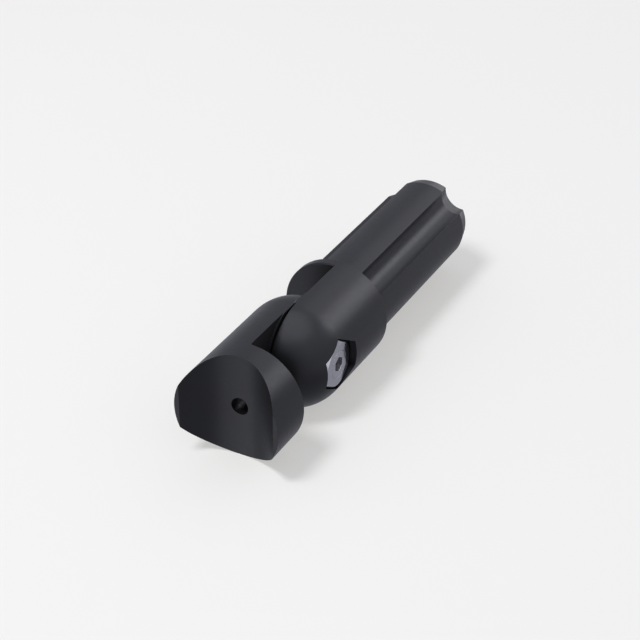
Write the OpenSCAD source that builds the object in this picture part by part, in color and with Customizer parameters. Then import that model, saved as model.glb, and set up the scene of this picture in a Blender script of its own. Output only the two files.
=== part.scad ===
// Hinged flange connector for round tubes.
// A saddle seats on the side of a crossing tube, a clamped ball hinge sets the
// angle, and a grooved plug slides into the end of the tube that is carried.
// Millimetres. The origin is at the middle of the saddle's floor, where it touches
// the crossing tube, which runs along Z. +X runs along the connector towards the
// plug, and Y is the direction of the pivot.

/* [Barrel] */
// Outer diameter of barrel and ball, as the plugged tube's outside
body_d = 23.5; // [21:0.5:28]
// Bevel that breaks each round outer edge
edge_break = 0.3; // [0.1:0.05:0.5]

/* [Saddle] */
// Radius of the hollow that seats on the crossing tube
saddle_r = 12.75; // [12.25:0.25:18]
// Depth of the hollow under its two lands
saddle_depth = 5.7; // [4:0.1:6.5]
// Wall between the saddle's lowest line and the hinge space
floor_t = 5.15; // [4:0.05:10]
// Pilot hole for the screw that holds the crossing tube
pilot_d = 3.8; // [2.5:0.1:4.5]
// Length of the pilot hole's run-out past the wall
pilot_run = 0.5; // [0.2:0.1:2]

/* [Hinge] */
// Pivot axis to the end wall of the hinge space, in both halves
hinge_reach = 17.45; // [16:0.05:24]
// How far the bearing face reaches past the ball
hub_margin = 0.8; // [0.3:0.1:1.5]
// Height of the bearing face above the rest of each cheek
hub_rise = 0.2; // [0.1:0.05:0.5]

/* [Plug] */
// Length of the full-round collar behind the tube's end
collar_len = 2.25; // [1.5:0.05:6]
// Diameter of the plug, a sliding fit in the tube
plug_d = 20.2; // [17:0.1:21]
// Length of the plug from the collar to its tip
plug_len = 46.8; // [25:0.1:80]
// Number of grooves along the plug
groove_count = 4; // [2:1:4]
// Radius of each groove's round floor
groove_r = 3.8; // [2:0.1:5]
// Depth of each groove under the plug's surface
groove_depth = 2.1; // [1.2:0.1:4]
// Length of the lead-in taper at the tip
lead_len = 3.5; // [2:0.1:8]
// How much the lead-in takes off the radius
lead_drop = 0.9; // [0.4:0.1:1.5]

/* [Pivot screw and nut] */
// Thread diameter of the pivot screw
screw_d = 6; // [5:0.5:6]
// Length of the screw under its head
screw_len = 16; // [14:1:18]
// Diameter of the low cylindrical head
head_d = 10; // [9:0.1:10.5]
// Height of the head
head_h = 4; // [3:0.1:4.5]
// Hexagon key size of the socket in the head
head_key = 4; // [3:0.5:5]
// Hexagon key size of the socket in the screw's end
end_key = 3; // [2:0.5:3]
// Depth of both key sockets
key_depth = 2; // [1:0.1:2.5]
// Size of the nut across its flats
nut_af = 10; // [8:0.5:10.5]
// Thickness of the nut
nut_h = 5; // [4:0.1:5.5]
// How deep the nut's outer face lies under the barrel's surface
nut_sink = 1.45; // [1.15:0.05:2.5]

/* [Clearances] */
// Radial play of the screw's shank in both halves and in the nut
shank_play = 0.05; // [0.02:0.01:0.1]
// Play on each side of the nut in its pocket
nut_play = 0.25; // [0.1:0.05:0.4]
// Radial play of the head in its counterbore
head_play = 0.3; // [0.1:0.05:0.5]

/* [Hidden] */
$fn = 128;

body_r = body_d / 2;
plug_r = plug_d / 2;
shank_r = screw_d / 2;
hub_r = body_r + hub_margin;

// Places along X
pivot_x = floor_t + hinge_reach;
stop_x = pivot_x + hinge_reach + collar_len;

// Each groove's axis lies outside its floor by the groove's own radius
groove_axis_r = plug_r - groove_depth + groove_r;

// Outside this circle the nut's chamfer takes its corners down
nut_chamfer_r = 0.475 * nut_af;
nut_corner_r = nut_af / sqrt(3);
nut_chamfer_h = (nut_corner_r - nut_chamfer_r) * tan(30);

// Distances along Y from the split plane; the screw's end is flush with the nut
nut_face = body_r - nut_sink;
nut_seat = nut_face - nut_h;
head_seat = screw_len - nut_face;
head_top = head_seat + head_h;

// Length that carries a cutter clear of the part
clear = 2 * body_d;
// Overlap that carries a cutter through the face that it opens
through = 0.5;

mould_black = [0.12, 0.12, 0.13];
zinc = [0.74, 0.75, 0.79];

// Stands its children, made along +Z, along +X from x
module along_x(x = 0) {
    translate([x, 0, 0]) rotate([0, 90, 0]) children();
}

// Stands its children, made along +Z, along +Y from y
module along_y(y = 0) {
    translate([0, y, 0]) rotate([-90, 0, 0]) children();
}

// Moves its children from the pivot axis to its place on the part
module at_pivot() {
    translate([pivot_x, 0, 0]) children();
}

// Hexagonal prism along Y from y to y + h, with corners at top and bottom
module hex_bar(af, y, h) {
    along_y(y) rotate([0, 0, 90]) cylinder(h = h, r = af / sqrt(3), $fn = 6);
}

// Ring that bevels the rim at z = 0 of a cylinder that lies below it
module rim_cutter() {
    rotate_extrude() polygon([
        [body_r - edge_break - through, through],
        [body_r + through, -edge_break - through],
        [body_r + through, through]
    ]);
}

// Everything on one side of the pivot axis: side is 1 for +X and -1 for -X
module beyond_pivot(side) {
    translate([side > 0 ? 0 : -clear, -clear / 2, -clear / 2]) cube(clear);
}

// Round bar from the pivot to x = len, with a ball end about the pivot
module ball_bar(len) {
    along_x() cylinder(h = len, r = body_r);
    difference() {
        sphere(r = body_r);
        beyond_pivot(1);
    }
}

// Takes the split face back outside the round bearing face
module cheek_relief() {
    difference() {
        translate([0, -hub_rise, -clear / 2]) cube([hinge_reach, 2 * hub_rise, clear]);
        along_y(-clear / 2) cylinder(h = clear, r = hub_r);
    }
}

// Half of the bar on the -Y side, its ball end eased where it meets the other half
module cheek(len) {
    difference() {
        ball_bar(len);
        translate([-clear / 2, 0, -clear / 2]) cube([2 * clear, clear, clear]);
        cheek_relief();
        intersection() {
            along_y() rim_cutter();
            beyond_pivot(-1);
        }
    }
}

// One half of the hinge about the pivot: a cheek on -Y, full round from the end wall on
module hinge_half(len) {
    cheek(len);
    difference() {
        along_x(hinge_reach) cylinder(h = len - hinge_reach, r = body_r);
        along_x(hinge_reach) mirror([0, 0, 1]) rim_cutter();
    }
}

// Hole for the screw's shank, through whatever the pivot passes
module shank_hole() {
    along_y(-clear / 2) cylinder(h = clear, r = shank_r + shank_play);
}

module flange_half() {
    color(mould_black) difference() {
        at_pivot() rotate([0, 0, 180]) hinge_half(pivot_x + saddle_depth);
        translate([-saddle_r, 0, -clear / 2]) cylinder(h = clear, r = saddle_r);
        along_x(-through) cylinder(h = through + floor_t + pilot_run, d = pilot_d);
        at_pivot() {
            shank_hole();
            along_y(head_seat) cylinder(h = clear, r = head_d / 2 + head_play);
        }
    }
}

// One groove of the plug, flared at the tip as the lead-in is
module groove_cutter() {
    flare_x = plug_len - lead_len - through;
    translate([0, 0, groove_axis_r]) {
        along_x(-through) cylinder(h = flare_x + through, r = groove_r);
        along_x(flare_x)
            cylinder(h = lead_len + 2 * through, r1 = groove_r, r2 = groove_r + lead_drop);
    }
}

// Round plug from x = 0, with a tapered tip and its grooves set between the axes
module plug() {
    difference() {
        union() {
            along_x() cylinder(h = plug_len - lead_len, r = plug_r);
            along_x(plug_len - lead_len)
                cylinder(h = lead_len, r1 = plug_r, r2 = plug_r - lead_drop);
        }
        for (i = [0 : groove_count - 1])
            rotate([(i + 0.5) * 360 / groove_count, 0, 0]) groove_cutter();
    }
}

module stem_half() {
    color(mould_black) {
        difference() {
            at_pivot() hinge_half(stop_x - pivot_x);
            along_x(stop_x) rim_cutter();
            at_pivot() {
                shank_hole();
                hex_bar(nut_af + 2 * nut_play, -nut_seat - clear, clear);
            }
        }
        translate([stop_x, 0, 0]) plug();
    }
}

// Chamfered round envelope of the nut, its outer face at z = 0
module nut_envelope() {
    cylinder(h = nut_chamfer_h, r1 = nut_chamfer_r, r2 = nut_corner_r);
    translate([0, 0, nut_chamfer_h]) cylinder(h = nut_h - nut_chamfer_h, r = nut_corner_r);
}

module hex_nut() {
    color(zinc) at_pivot() difference() {
        intersection() {
            hex_bar(nut_af, -nut_face, nut_h);
            along_y(-nut_face) nut_envelope();
        }
        shank_hole();
    }
}

module pivot_screw() {
    color(zinc) at_pivot() difference() {
        union() {
            along_y(-nut_face) cylinder(h = screw_len, r = shank_r);
            along_y(head_seat) cylinder(h = head_h, r = head_d / 2);
        }
        hex_bar(end_key, -nut_face - through, key_depth + through);
        hex_bar(head_key, head_top - key_depth, key_depth + through);
    }
}

flange_half();
stem_half();
hex_nut();
pivot_screw();
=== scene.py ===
import math

import bpy
from mathutils import Matrix, Vector


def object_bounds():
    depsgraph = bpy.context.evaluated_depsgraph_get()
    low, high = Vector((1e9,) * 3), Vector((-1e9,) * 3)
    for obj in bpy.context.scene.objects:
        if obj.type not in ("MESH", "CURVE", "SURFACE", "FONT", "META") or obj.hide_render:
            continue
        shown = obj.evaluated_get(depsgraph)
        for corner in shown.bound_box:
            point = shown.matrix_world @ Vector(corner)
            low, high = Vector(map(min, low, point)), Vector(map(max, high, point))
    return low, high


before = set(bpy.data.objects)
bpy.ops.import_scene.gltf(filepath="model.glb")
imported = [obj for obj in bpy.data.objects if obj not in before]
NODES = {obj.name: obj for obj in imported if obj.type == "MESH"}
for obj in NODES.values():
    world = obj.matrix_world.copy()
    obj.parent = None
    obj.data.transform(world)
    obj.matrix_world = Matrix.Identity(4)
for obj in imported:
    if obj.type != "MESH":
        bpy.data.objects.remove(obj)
cad_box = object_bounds()

PLASTIC_NODES = ("flange_half", "stem_half")
ZINC_NODES = ("hex_nut", "pivot_screw")

# Camera, matched to the photograph: its place, its axes and its lens
CAMERA_AT = (-0.243569, -0.145442, 0.198060)
CAMERA_RIGHT = (0.4675022, -0.8839744, 0.0055609)
CAMERA_DOWN = (-0.4677934, -0.2527270, -0.8469347)
CAMERA_LENS = 98.2535
CAMERA_SENSOR = 36.0
CLIP_START, CLIP_END = 0.01, 20.0
VIEW_GAMMA = 0.77

# Middle of the part, which the lights face
MIDDLE = (0.04, 0.0, 0.0)
# The main light, which casts the shadow and isn't mirrored:
# direction from the middle, distance, width, radiance
KEY = ((-0.44, 0.26, 1.0), 0.75, 0.22, 48.0)
# Lights that only show as reflections, in the same order
REFLECTIONS = {
    "softbox": ((0.75, -0.475, 0.46), 0.7, 0.34, 3.35),
    "panel": ((0.75, -0.06, 0.65), 0.7, 0.36, 0.75),
    "overhead": ((-0.12, 0.04, 1.0), 0.7, 0.98, 2.3),
    "far_panel": ((0.95, -0.10, 0.08), 0.7, 0.56, 1.1),
    "front_panel": ((-0.1, -0.9, 0.42), 0.7, 1.2, 0.45),
    "table_shine": ((-0.775, 0.32, -0.53), 0.35, 0.34, 0.95),
}
# Brightness of the dome, by the sine of the height, from straight below to straight above
DOME = [
    (-1.0, 0.72), (-0.66, 0.68), (-0.50, 0.60), (-0.34, 0.82), (-0.14, 0.92),
    (-0.03, 0.80), (0.06, 0.68), (0.16, 0.66), (0.36, 0.90), (0.53, 0.98),
    (0.66, 1.10), (0.80, 0.8), (1.0, 0.45),
]
# The dome's cool colour
DOME_TINT = (0.98, 0.99, 1.066)

# Patterns of the surfaces: cells in a metre, detail and roughness
PLASTIC_CLOUD = (60.0, 3.0, 0.55)
PLASTIC_SPECK = (900.0, 3.0, 0.7)
PLASTIC_GRAIN = (2600.0, 2.0, 0.55)
ZINC_CLOUD = (220.0, 3.0, 0.55)
ZINC_LINES = (1500.0, 3.0, 0.55)
FLOOR_CLOUD = (3.0, 2.0, 0.55)
# Parts of a pattern's values over which a colour or a roughness changes
NARROW, WIDE = (0.35, 0.65), (0.3, 0.7)

# Half the floor's width, and the gap that keeps it clear of the part
FLOOR_HALF = 3.0
FLOOR_GAP = 0.00002
# Range of the floor's grey
FLOOR_DARK = (0.217, 0.217, 0.217)
FLOOR_LIGHT = (0.223, 0.223, 0.223)
# How much the floor shines by itself, as a light table does, and in which colour
FLOOR_GLOW = 0.537
FLOOR_GLOW_COLOUR = (1.0, 0.991, 0.970, 1)
# How much brighter that shine grows, for each metre along X between two ends
FLOOR_RISE = 0.12
FLOOR_RISE_FROM, FLOOR_RISE_TO = -0.4, 0.5
FLOOR_ROUGH = 0.9
FLOOR_SPECULAR = 0.1

# Black plastic: range of its colour, the painted highlight colour along its edges, and
# their radius
PLASTIC_DARK = (0.0070, 0.0073, 0.0086)
PLASTIC_LIGHT = (0.0086, 0.0089, 0.0103)
PLASTIC_EDGE_HIGHLIGHT = (0.016, 0.0165, 0.019)
PLASTIC_EDGE_R = 0.00006
PLASTIC_ROUGH = (0.35, 0.41)
PLASTIC_SPECULAR = 0.52
PLASTIC_TINT = (0.925, 0.935, 1.0, 1)
# Depth and strength of its moulded grain
PLASTIC_DEPTH = (0.00002, 0.3)

# Zinc plate, in the same order
ZINC_DARK = (0.412, 0.410, 0.442)
ZINC_LIGHT = (0.456, 0.454, 0.488)
# Painted highlight colour along the zinc's edges
ZINC_EDGE_HIGHLIGHT = (0.59, 0.587, 0.62)
ZINC_EDGE_R = 0.0001
ZINC_ROUGH = (0.13, 0.22)
# Depth and strength of its fine lines, and how far they stretch along Z
ZINC_DEPTH = (0.000004, 0.25)
ZINC_STRETCH = (1.0, 1.0, 0.08)
# The inside of the screw's key sockets: a lighter colour of painted light that brightens
# the recesses, and a duller roughness
SOCKET_PAINTED_LIGHT = (0.51, 0.508, 0.53)
SOCKET_ROUGH = (0.40, 0.40, 0.40)
# Pivot axis along X, and the radius and the ends along Y that hold both sockets
PIVOT_X = 0.0226
SOCKET_R = 0.0024
SOCKET_Y = (-0.01024, 0.00964)

# Span of the painted edge highlight, by how far the softened normal turns
EDGE_HIGHLIGHT_SPAN = (0.02, 0.35)
BEVEL_SAMPLES = 8
# Places of the colour sockets of a mix node
MIX_A, MIX_B, MIX_RESULT = 6, 7, 2


def link(object_):
    bpy.context.scene.collection.objects.link(object_)
    return object_


def add_camera():
    data = bpy.data.cameras.new("camera")
    camera = link(bpy.data.objects.new("camera", data))
    right = Vector(CAMERA_RIGHT).normalized()
    up = -Vector(CAMERA_DOWN).normalized()
    back = right.cross(up).normalized()
    up = back.cross(right).normalized()
    turn = Matrix((right, up, back)).transposed()
    camera.matrix_world = Matrix.Translation(CAMERA_AT) @ turn.to_4x4()
    data.lens = CAMERA_LENS
    data.sensor_width = CAMERA_SENSOR
    data.clip_start = CLIP_START
    data.clip_end = CLIP_END
    bpy.context.scene.camera = camera


# Sets the stops of a colour ramp, each a place from 0 to 1 and a colour
def set_stops(ramp, stops):
    elements = ramp.color_ramp.elements
    while len(elements) < len(stops):
        elements.new(0.5)
    for element, (at, colour) in zip(elements, stops):
        element.position = at
        element.color = (*colour, 1)


# Nodes and sockets of a procedural material
class Shader:
    def __init__(self, name):
        self.material = bpy.data.materials.new(name)
        self.material.use_nodes = True
        self.tree = self.material.node_tree
        self.nodes = self.tree.nodes
        self.inputs = self.nodes["Principled BSDF"].inputs

    def node(self, kind, **settings):
        made = self.nodes.new(kind)
        for key, value in settings.items():
            setattr(made, key, value)
        return made

    def link(self, source, target):
        self.tree.links.new(source, target)

    def coordinates(self, scale=(1, 1, 1)):
        place = self.node("ShaderNodeTexCoord")
        mapping = self.node("ShaderNodeMapping")
        mapping.inputs["Scale"].default_value = scale
        self.link(place.outputs["Object"], mapping.inputs["Vector"])
        return mapping.outputs["Vector"]

    def axes(self):
        parts = self.node("ShaderNodeSeparateXYZ")
        self.link(self.coordinates(), parts.inputs["Vector"])
        return parts.outputs

    def noise(self, pattern, vector=None):
        scale, detail, roughness = pattern
        made = self.node("ShaderNodeTexNoise")
        made.inputs["Scale"].default_value = scale
        made.inputs["Detail"].default_value = detail
        made.inputs["Roughness"].default_value = roughness
        self.link(vector or self.coordinates(), made.inputs["Vector"])
        return made.outputs["Fac"]

    def ramp(self, source, span, low=0.0, high=1.0):
        """Grey that goes from low to high while the source goes through span."""
        start, end = span
        made = self.node("ShaderNodeValToRGB")
        set_stops(made, [(start, (low,) * 3), (end, (high,) * 3)])
        self.link(source, made.inputs["Fac"])
        return made.outputs["Color"]

    def math(self, operation, a, b):
        made = self.node("ShaderNodeMath", operation=operation)
        for socket, value in zip(made.inputs, (a, b)):
            if isinstance(value, (int, float)):
                socket.default_value = value
            else:
                self.link(value, socket)
        return made.outputs["Value"]

    def mix(self, factor, a, b):
        made = self.node("ShaderNodeMix", data_type="RGBA")
        self.link(factor, made.inputs["Factor"])
        for socket, value in ((made.inputs[MIX_A], a), (made.inputs[MIX_B], b)):
            if isinstance(value, tuple):
                socket.default_value = (*value, 1)
            else:
                self.link(value, socket)
        return made.outputs[MIX_RESULT]

    def sockets(self):
        """One inside the key sockets of the pivot screw, zero elsewhere."""
        axes = self.axes()
        x, y, z = self.math("SUBTRACT", axes["X"], PIVOT_X), axes["Y"], axes["Z"]
        squares = [self.math("MULTIPLY", side, side) for side in (x, z)]
        near = self.math("LESS_THAN", self.math("ADD", *squares), SOCKET_R ** 2)
        first, last = SOCKET_Y
        deep = [self.math("GREATER_THAN", y, first), self.math("LESS_THAN", y, last)]
        return self.math("MULTIPLY", near, self.math("MULTIPLY", *deep))

    def softened(self, radius):
        """The surface's normal with its sharp edges rounded off by radius."""
        bevel = self.node("ShaderNodeBevel", samples=BEVEL_SAMPLES)
        bevel.inputs["Radius"].default_value = radius
        return bevel.outputs["Normal"]

    def painted_edge_highlight(self, softened):
        """Mask of the painted edge highlight: one where the softened normal leaves the real
        one, zero elsewhere.
        """
        geometry = self.node("ShaderNodeNewGeometry")
        dot = self.node("ShaderNodeVectorMath", operation="DOT_PRODUCT")
        self.link(softened, dot.inputs[0])
        self.link(geometry.outputs["Normal"], dot.inputs[1])
        turned = self.math("SUBTRACT", 1.0, dot.outputs["Value"])
        return self.ramp(turned, EDGE_HIGHLIGHT_SPAN)

    def bump(self, height, depth, normal):
        distance, strength = depth
        made = self.node("ShaderNodeBump")
        made.inputs["Strength"].default_value = strength
        made.inputs["Distance"].default_value = distance
        self.link(height, made.inputs["Height"])
        self.link(normal, made.inputs["Normal"])
        self.link(made.outputs["Normal"], self.inputs["Normal"])


def moulded_plastic():
    shader = Shader("moulded_black_plastic")
    cloud = shader.noise(PLASTIC_CLOUD)
    speck = shader.noise(PLASTIC_SPECK)
    grain = shader.noise(PLASTIC_GRAIN)
    soft = shader.softened(PLASTIC_EDGE_R)
    colour = shader.mix(shader.ramp(cloud, NARROW), PLASTIC_DARK, PLASTIC_LIGHT)
    # Painted highlight along the plastic's sharp edges, lighter where the softened normal
    # turns
    colour = shader.mix(shader.painted_edge_highlight(soft), colour, PLASTIC_EDGE_HIGHLIGHT)
    shader.link(colour, shader.inputs["Base Color"])
    shader.link(shader.ramp(speck, WIDE, *PLASTIC_ROUGH), shader.inputs["Roughness"])
    shader.bump(grain, PLASTIC_DEPTH, soft)
    shader.inputs["Specular IOR Level"].default_value = PLASTIC_SPECULAR
    shader.inputs["Specular Tint"].default_value = PLASTIC_TINT
    return shader.material


def zinc():
    shader = Shader("zinc_plate")
    cloud = shader.noise(ZINC_CLOUD)
    lines = shader.noise(ZINC_LINES, shader.coordinates(ZINC_STRETCH))
    soft = shader.softened(ZINC_EDGE_R)
    sockets = shader.sockets()
    colour = shader.mix(shader.ramp(cloud, WIDE), ZINC_DARK, ZINC_LIGHT)
    # Painted highlight along the sharp edges of the nut and screw
    colour = shader.mix(shader.painted_edge_highlight(soft), colour, ZINC_EDGE_HIGHLIGHT)
    # Painted light inside the key sockets, lighter than the zinc around them
    colour = shader.mix(sockets, colour, SOCKET_PAINTED_LIGHT)
    shader.link(colour, shader.inputs["Base Color"])
    rough = shader.ramp(lines, WIDE, *ZINC_ROUGH)
    rough = shader.mix(sockets, rough, SOCKET_ROUGH)
    shader.link(rough, shader.inputs["Roughness"])
    shader.bump(lines, ZINC_DEPTH, soft)
    shader.inputs["Metallic"].default_value = 1.0
    return shader.material


def floor_paper():
    shader = Shader("floor_paper")
    cloud = shader.noise(FLOOR_CLOUD)
    colour = shader.mix(shader.ramp(cloud, WIDE), FLOOR_DARK, FLOOR_LIGHT)
    shader.link(colour, shader.inputs["Base Color"])
    along = shader.math("MAXIMUM", shader.axes()["X"], FLOOR_RISE_FROM)
    along = shader.math("MINIMUM", along, FLOOR_RISE_TO)
    glow = shader.math("ADD", FLOOR_GLOW, shader.math("MULTIPLY", along, FLOOR_RISE))
    shader.link(glow, shader.inputs["Emission Strength"])
    shader.inputs["Emission Color"].default_value = FLOOR_GLOW_COLOUR
    shader.inputs["Roughness"].default_value = FLOOR_ROUGH
    shader.inputs["Specular IOR Level"].default_value = FLOOR_SPECULAR
    return shader.material


# The floor under the part, which the part neither mirrors nor is shaded by
def add_floor():
    half, level = FLOOR_HALF, cad_box[0].z - FLOOR_GAP
    corners = [(-half, -half), (half, -half), (half, half), (-half, half)]
    mesh = bpy.data.meshes.new("floor")
    mesh.from_pydata([(x, y, level) for x, y in corners], [], [(0, 1, 2, 3)])
    mesh.materials.append(floor_paper())
    floor = bpy.data.objects.new("floor", mesh)
    floor.visible_glossy = False
    floor.visible_shadow = False
    link(floor)


# A disk light of a given width and radiance, which faces the part's middle
def add_disk(name, towards, distance, width, radiance):
    data = bpy.data.lights.new(name, "AREA")
    data.shape = "DISK"
    data.size = width
    data.energy = radiance * math.pi * math.pi * (width / 2) ** 2
    lamp = link(bpy.data.objects.new(name, data))
    direction = Vector(towards).normalized()
    lamp.location = Vector(MIDDLE) + direction * distance
    lamp.rotation_mode = "QUATERNION"
    lamp.rotation_quaternion = (-direction).to_track_quat("-Z", "Y")
    lamp.visible_camera = False
    return lamp


# Dome of soft light, its brightness by height above the horizon
def add_dome():
    world = bpy.data.worlds.new("studio")
    bpy.context.scene.world = world
    world.use_nodes = True
    nodes, links = world.node_tree.nodes, world.node_tree.links
    place = nodes.new("ShaderNodeTexCoord")
    parts = nodes.new("ShaderNodeSeparateXYZ")
    share = nodes.new("ShaderNodeMapRange")
    share.inputs["From Min"].default_value = -1.0
    ramp = nodes.new("ShaderNodeValToRGB")
    set_stops(ramp, [
        (0.5 + 0.5 * height, [value * part for part in DOME_TINT]) for height, value in DOME
    ])
    links.new(place.outputs["Generated"], parts.inputs["Vector"])
    links.new(parts.outputs["Z"], share.inputs["Value"])
    links.new(share.outputs["Result"], ramp.inputs["Fac"])
    links.new(ramp.outputs["Color"], nodes["Background"].inputs["Color"])


def add_light():
    add_dome()
    add_disk("key", *KEY).visible_glossy = False
    for name, light in REFLECTIONS.items():
        add_disk(name, *light).visible_diffuse = False
    view = bpy.context.scene.view_settings
    view.view_transform = "Standard"
    view.look = "None"
    view.gamma = VIEW_GAMMA


def finish_nodes(names, material):
    for name in names:
        for slot in NODES[name].material_slots:
            slot.material = material


add_camera()
add_floor()
add_light()
finish_nodes(PLASTIC_NODES, moulded_plastic())
finish_nodes(ZINC_NODES, zinc())
